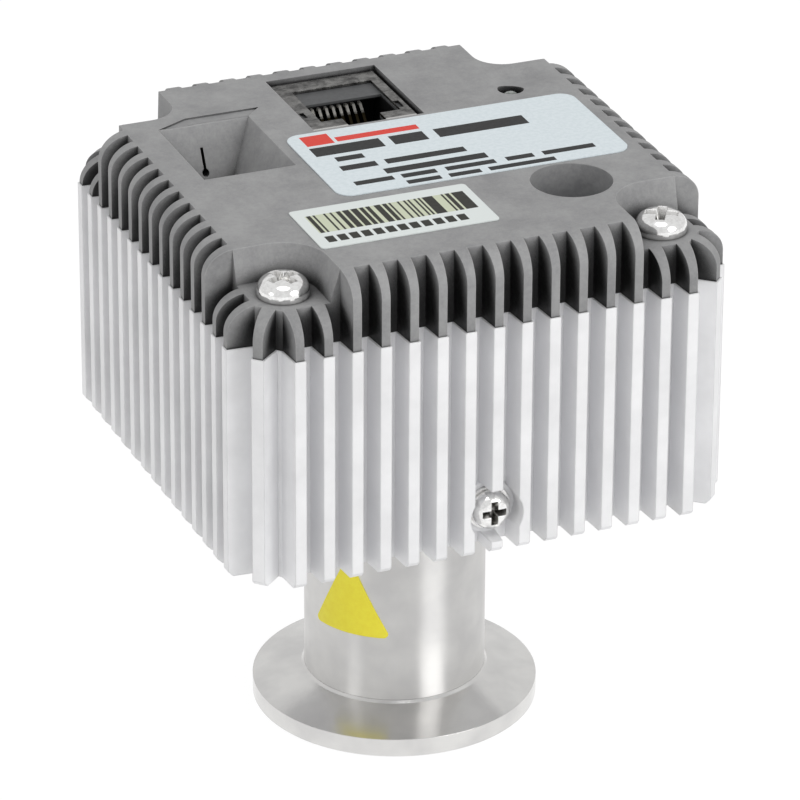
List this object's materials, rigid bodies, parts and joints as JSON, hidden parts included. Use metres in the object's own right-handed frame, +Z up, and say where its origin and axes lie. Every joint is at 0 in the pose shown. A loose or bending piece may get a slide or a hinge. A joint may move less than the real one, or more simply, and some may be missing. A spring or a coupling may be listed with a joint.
{
  "type": "hot cathode ionization gauge",
  "caption": "Vacuum gauge head: finned cast housing with ribbed cover and jack on a stainless tube with a clamped vacuum flange.",
  "frame": {"origin": "centre of the vacuum flange's sealing face, the lowest face of the part", "axes": "+Z up along the gauge tube, -Y towards the side with the earth screw"},
  "size_m": [0.0714, 0.0714, 0.0828],
  "materials": {
    "cast_aluminium": "fine satin, as cast and blasted",
    "cover_plastic": "matt, finely grained",
    "stainless": "turned satin",
    "glass": "clear sealing glass",
    "grid_wire": "drawn refractory wire",
    "bright_steel": "bright nickel plate",
    "jack_metal": "bright tin plate",
    "circuit_board": "green solder resist",
    "black_plastic": "moulded",
    "contact_gold": "gold flash",
    "capacitor_sleeve": "shrunk sleeve",
    "trimmer_blue": "moulded",
    "lever_white": "moulded",
    "lamp_lens": "tinted clear lens, unlit",
    "label_white": "coated label film",
    "label_yellow": "coated label film"
  },
  "bodies": {
    "gauge": {"anode_grid": "grid_wire", "bar_sticker": "label_white", "board_link": "black_plastic", "board_screw_1": "bright_steel", "board_screw_2": "bright_steel", "board_screw_3": "bright_steel", "board_screw_4": "bright_steel", "board_spacer_1": "bright_steel", "board_spacer_2": "bright_steel", "board_spacer_3": "bright_steel", "board_spacer_4": "bright_steel", "capacitor_1": "capacitor_sleeve", "capacitor_2": "capacitor_sleeve", "collar_screw_1": "bright_steel", "collar_screw_2": "bright_steel", "collar_screw_3": "bright_steel", "control_chip": "black_plastic", "cover_screw_1": "bright_steel", "cover_screw_2": "bright_steel", "cover_screw_3": "bright_steel", "cover_screw_4": "bright_steel", "earth_screw": "bright_steel", "earth_washer": "bright_steel", "filament_a": "grid_wire", "filament_b": "grid_wire", "filament_pin_a1": "stainless", "filament_pin_a2": "stainless", "filament_pin_b1": "stainless", "filament_pin_b2": "stainless", "gauge_tube": "stainless", "grid_pin": "stainless", "header_glass": "glass", "header_ring": "stainless", "heatsink_body": "cast_aluminium", "ion_collector": "grid_wire", "jack_contact_1": "contact_gold", "jack_contact_2": "contact_gold", "jack_contact_3": "contact_gold", "jack_contact_4": "contact_gold", "jack_contact_5": "contact_gold", "jack_contact_6": "contact_gold", "jack_contact_7": "contact_gold", "jack_contact_8": "contact_gold", "jack_insert": "black_plastic", "jack_shell": "jack_metal", "lamp": "lamp_lens", "lamp_spacer": "black_plastic", "lower_board": "circuit_board", "rating_sticker": "label_white", "screening_can": "jack_metal", "selector_switch": "black_plastic", "top_cover": "cover_plastic", "transformer": "black_plastic", "trimmer_body": "trimmer_blue", "tube_collar": "stainless", "tube_sticker": "label_yellow", "upper_board": "circuit_board", "vacuum_flange": "stainless"},
    "adjuster": {"trimmer_rotor": "black_plastic"},
    "selector": {"selector_lever": "lever_white"}
  },
  "joints": [
    {"name": "adjuster_turn", "type": "hinge", "parent": "gauge", "child": "adjuster", "pos_m": [0.0183, -0.01705, 0.07], "axis": [0, 0, 1], "range_deg": [-130, 130]},
    {"name": "selector_slide", "type": "slide", "parent": "gauge", "child": "selector", "axis": [0, 1, 0], "range_m": [-0.001, 0.001]}
  ]
}
